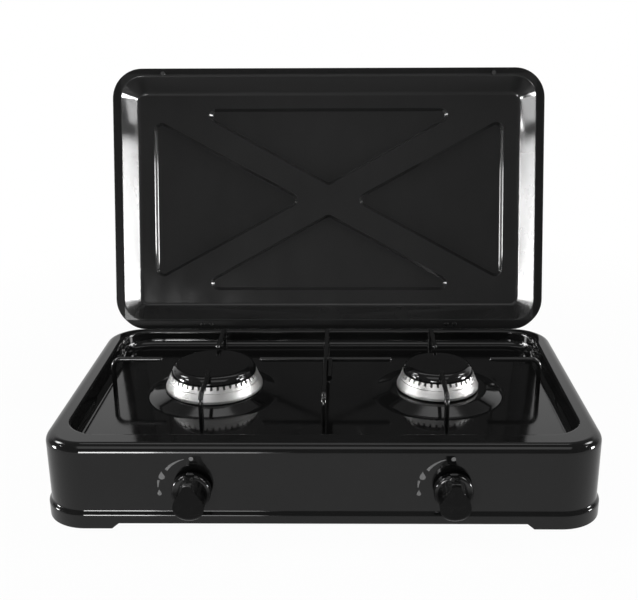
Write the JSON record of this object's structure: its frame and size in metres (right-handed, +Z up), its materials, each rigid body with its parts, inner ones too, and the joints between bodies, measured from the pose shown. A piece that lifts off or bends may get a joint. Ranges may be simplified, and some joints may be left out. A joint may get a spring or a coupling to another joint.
{
  "type": "two-burner gas stove",
  "caption": "Tabletop gas stove: pressed black enamel body with a sunken hob, ring burners, wire pan supports, push-and-turn taps and a hinged lid.",
  "frame": {"origin": "middle of the bounding box in plan, on the worktop under the rubber feet", "axes": "+X to the right along the front, +Y from the knobs towards the lid hinge, +Z up"},
  "size_m": [0.527, 0.4477, 0.3849],
  "materials": {
    "enamel": "glossy black enamel",
    "wire_enamel": "glossy black enamel on wire",
    "cap_enamel": "glossy black enamel",
    "ring_alloy": "bright turned",
    "cup_alloy": "as cast",
    "rubber": "matt",
    "knob_plastic": "glossy black",
    "brass": "machined",
    "dark_steel": "black painted steel",
    "steel": "zinc plated"
  },
  "bodies": {
    "stove_body": {"body_shell": "enamel", "corner_plates": "dark_steel", "foot_front_left": "rubber", "foot_front_right": "rubber", "foot_back_left": "rubber", "foot_back_right": "rubber", "hinge_leaf_left": "dark_steel", "hinge_leaf_right": "dark_steel", "hinge_pin_left": "steel", "hinge_pin_right": "steel", "leaf_rivets": "steel", "burner_cup_left": "cup_alloy", "burner_cup_right": "cup_alloy", "mixing_tube_left": "steel", "mixing_tube_right": "steel", "burner_ring_left": "ring_alloy", "burner_ring_right": "ring_alloy", "burner_cap_left": "cap_enamel", "burner_cap_right": "cap_enamel", "support_side_left": "wire_enamel", "support_side_right": "wire_enamel", "support_front_left": "wire_enamel", "support_front_right": "wire_enamel", "support_back_left": "wire_enamel", "support_back_right": "wire_enamel", "support_middle": "wire_enamel", "support_inner_left": "wire_enamel", "support_inner_right": "wire_enamel", "support_short_bar": "wire_enamel", "support_nuts": "steel", "gas_pipe": "steel", "inlet_nozzle": "brass", "inlet_nut": "brass", "pipe_clamp_left": "steel", "pipe_clamp_right": "steel", "clamp_screws": "steel", "tap_body_left": "brass", "tap_body_right": "brass", "tap_bonnet_left": "steel", "tap_bonnet_right": "steel", "tap_screws": "steel", "injector_left": "brass", "injector_right": "brass"},
    "lid": {"lid_pan": "enamel", "lid_strap_left": "dark_steel", "lid_strap_right": "dark_steel", "strap_rivets": "steel", "lid_bumpers": "rubber"},
    "left_plug": {"tap_plug_left": "brass", "tap_spring_left": "steel"},
    "left_knob": {"tap_stem_left": "steel", "knob_left": "knob_plastic"},
    "right_plug": {"tap_plug_right": "brass", "tap_spring_right": "steel"},
    "right_knob": {"tap_stem_right": "steel", "knob_right": "knob_plastic"}
  },
  "joints": [
    {"name": "lid_hinge", "type": "hinge", "parent": "stove_body", "child": "lid", "pos_m": [0, 0.12234, 0.0782], "axis": [1, 0, 0], "range_deg": [0, 104.3]},
    {"name": "left_tap_turn", "type": "hinge", "parent": "stove_body", "child": "left_plug", "pos_m": [-0.119, -0.19586, 0.0435], "axis": [0, -1, 0], "range_deg": [0, 100]},
    {"name": "left_knob_push", "type": "slide", "parent": "left_plug", "child": "left_knob", "axis": [0, 1, 0], "range_m": [0, 0.003], "stiffness_N_per_m": 600, "springref_m": -0.004, "deforming": ["tap_spring_left"]},
    {"name": "right_tap_turn", "type": "hinge", "parent": "stove_body", "child": "right_plug", "pos_m": [0.119, -0.19586, 0.0435], "axis": [0, -1, 0], "range_deg": [0, 100]},
    {"name": "right_knob_push", "type": "slide", "parent": "right_plug", "child": "right_knob", "axis": [0, 1, 0], "range_m": [0, 0.003], "stiffness_N_per_m": 600, "springref_m": -0.004, "deforming": ["tap_spring_right"]}
  ]
}
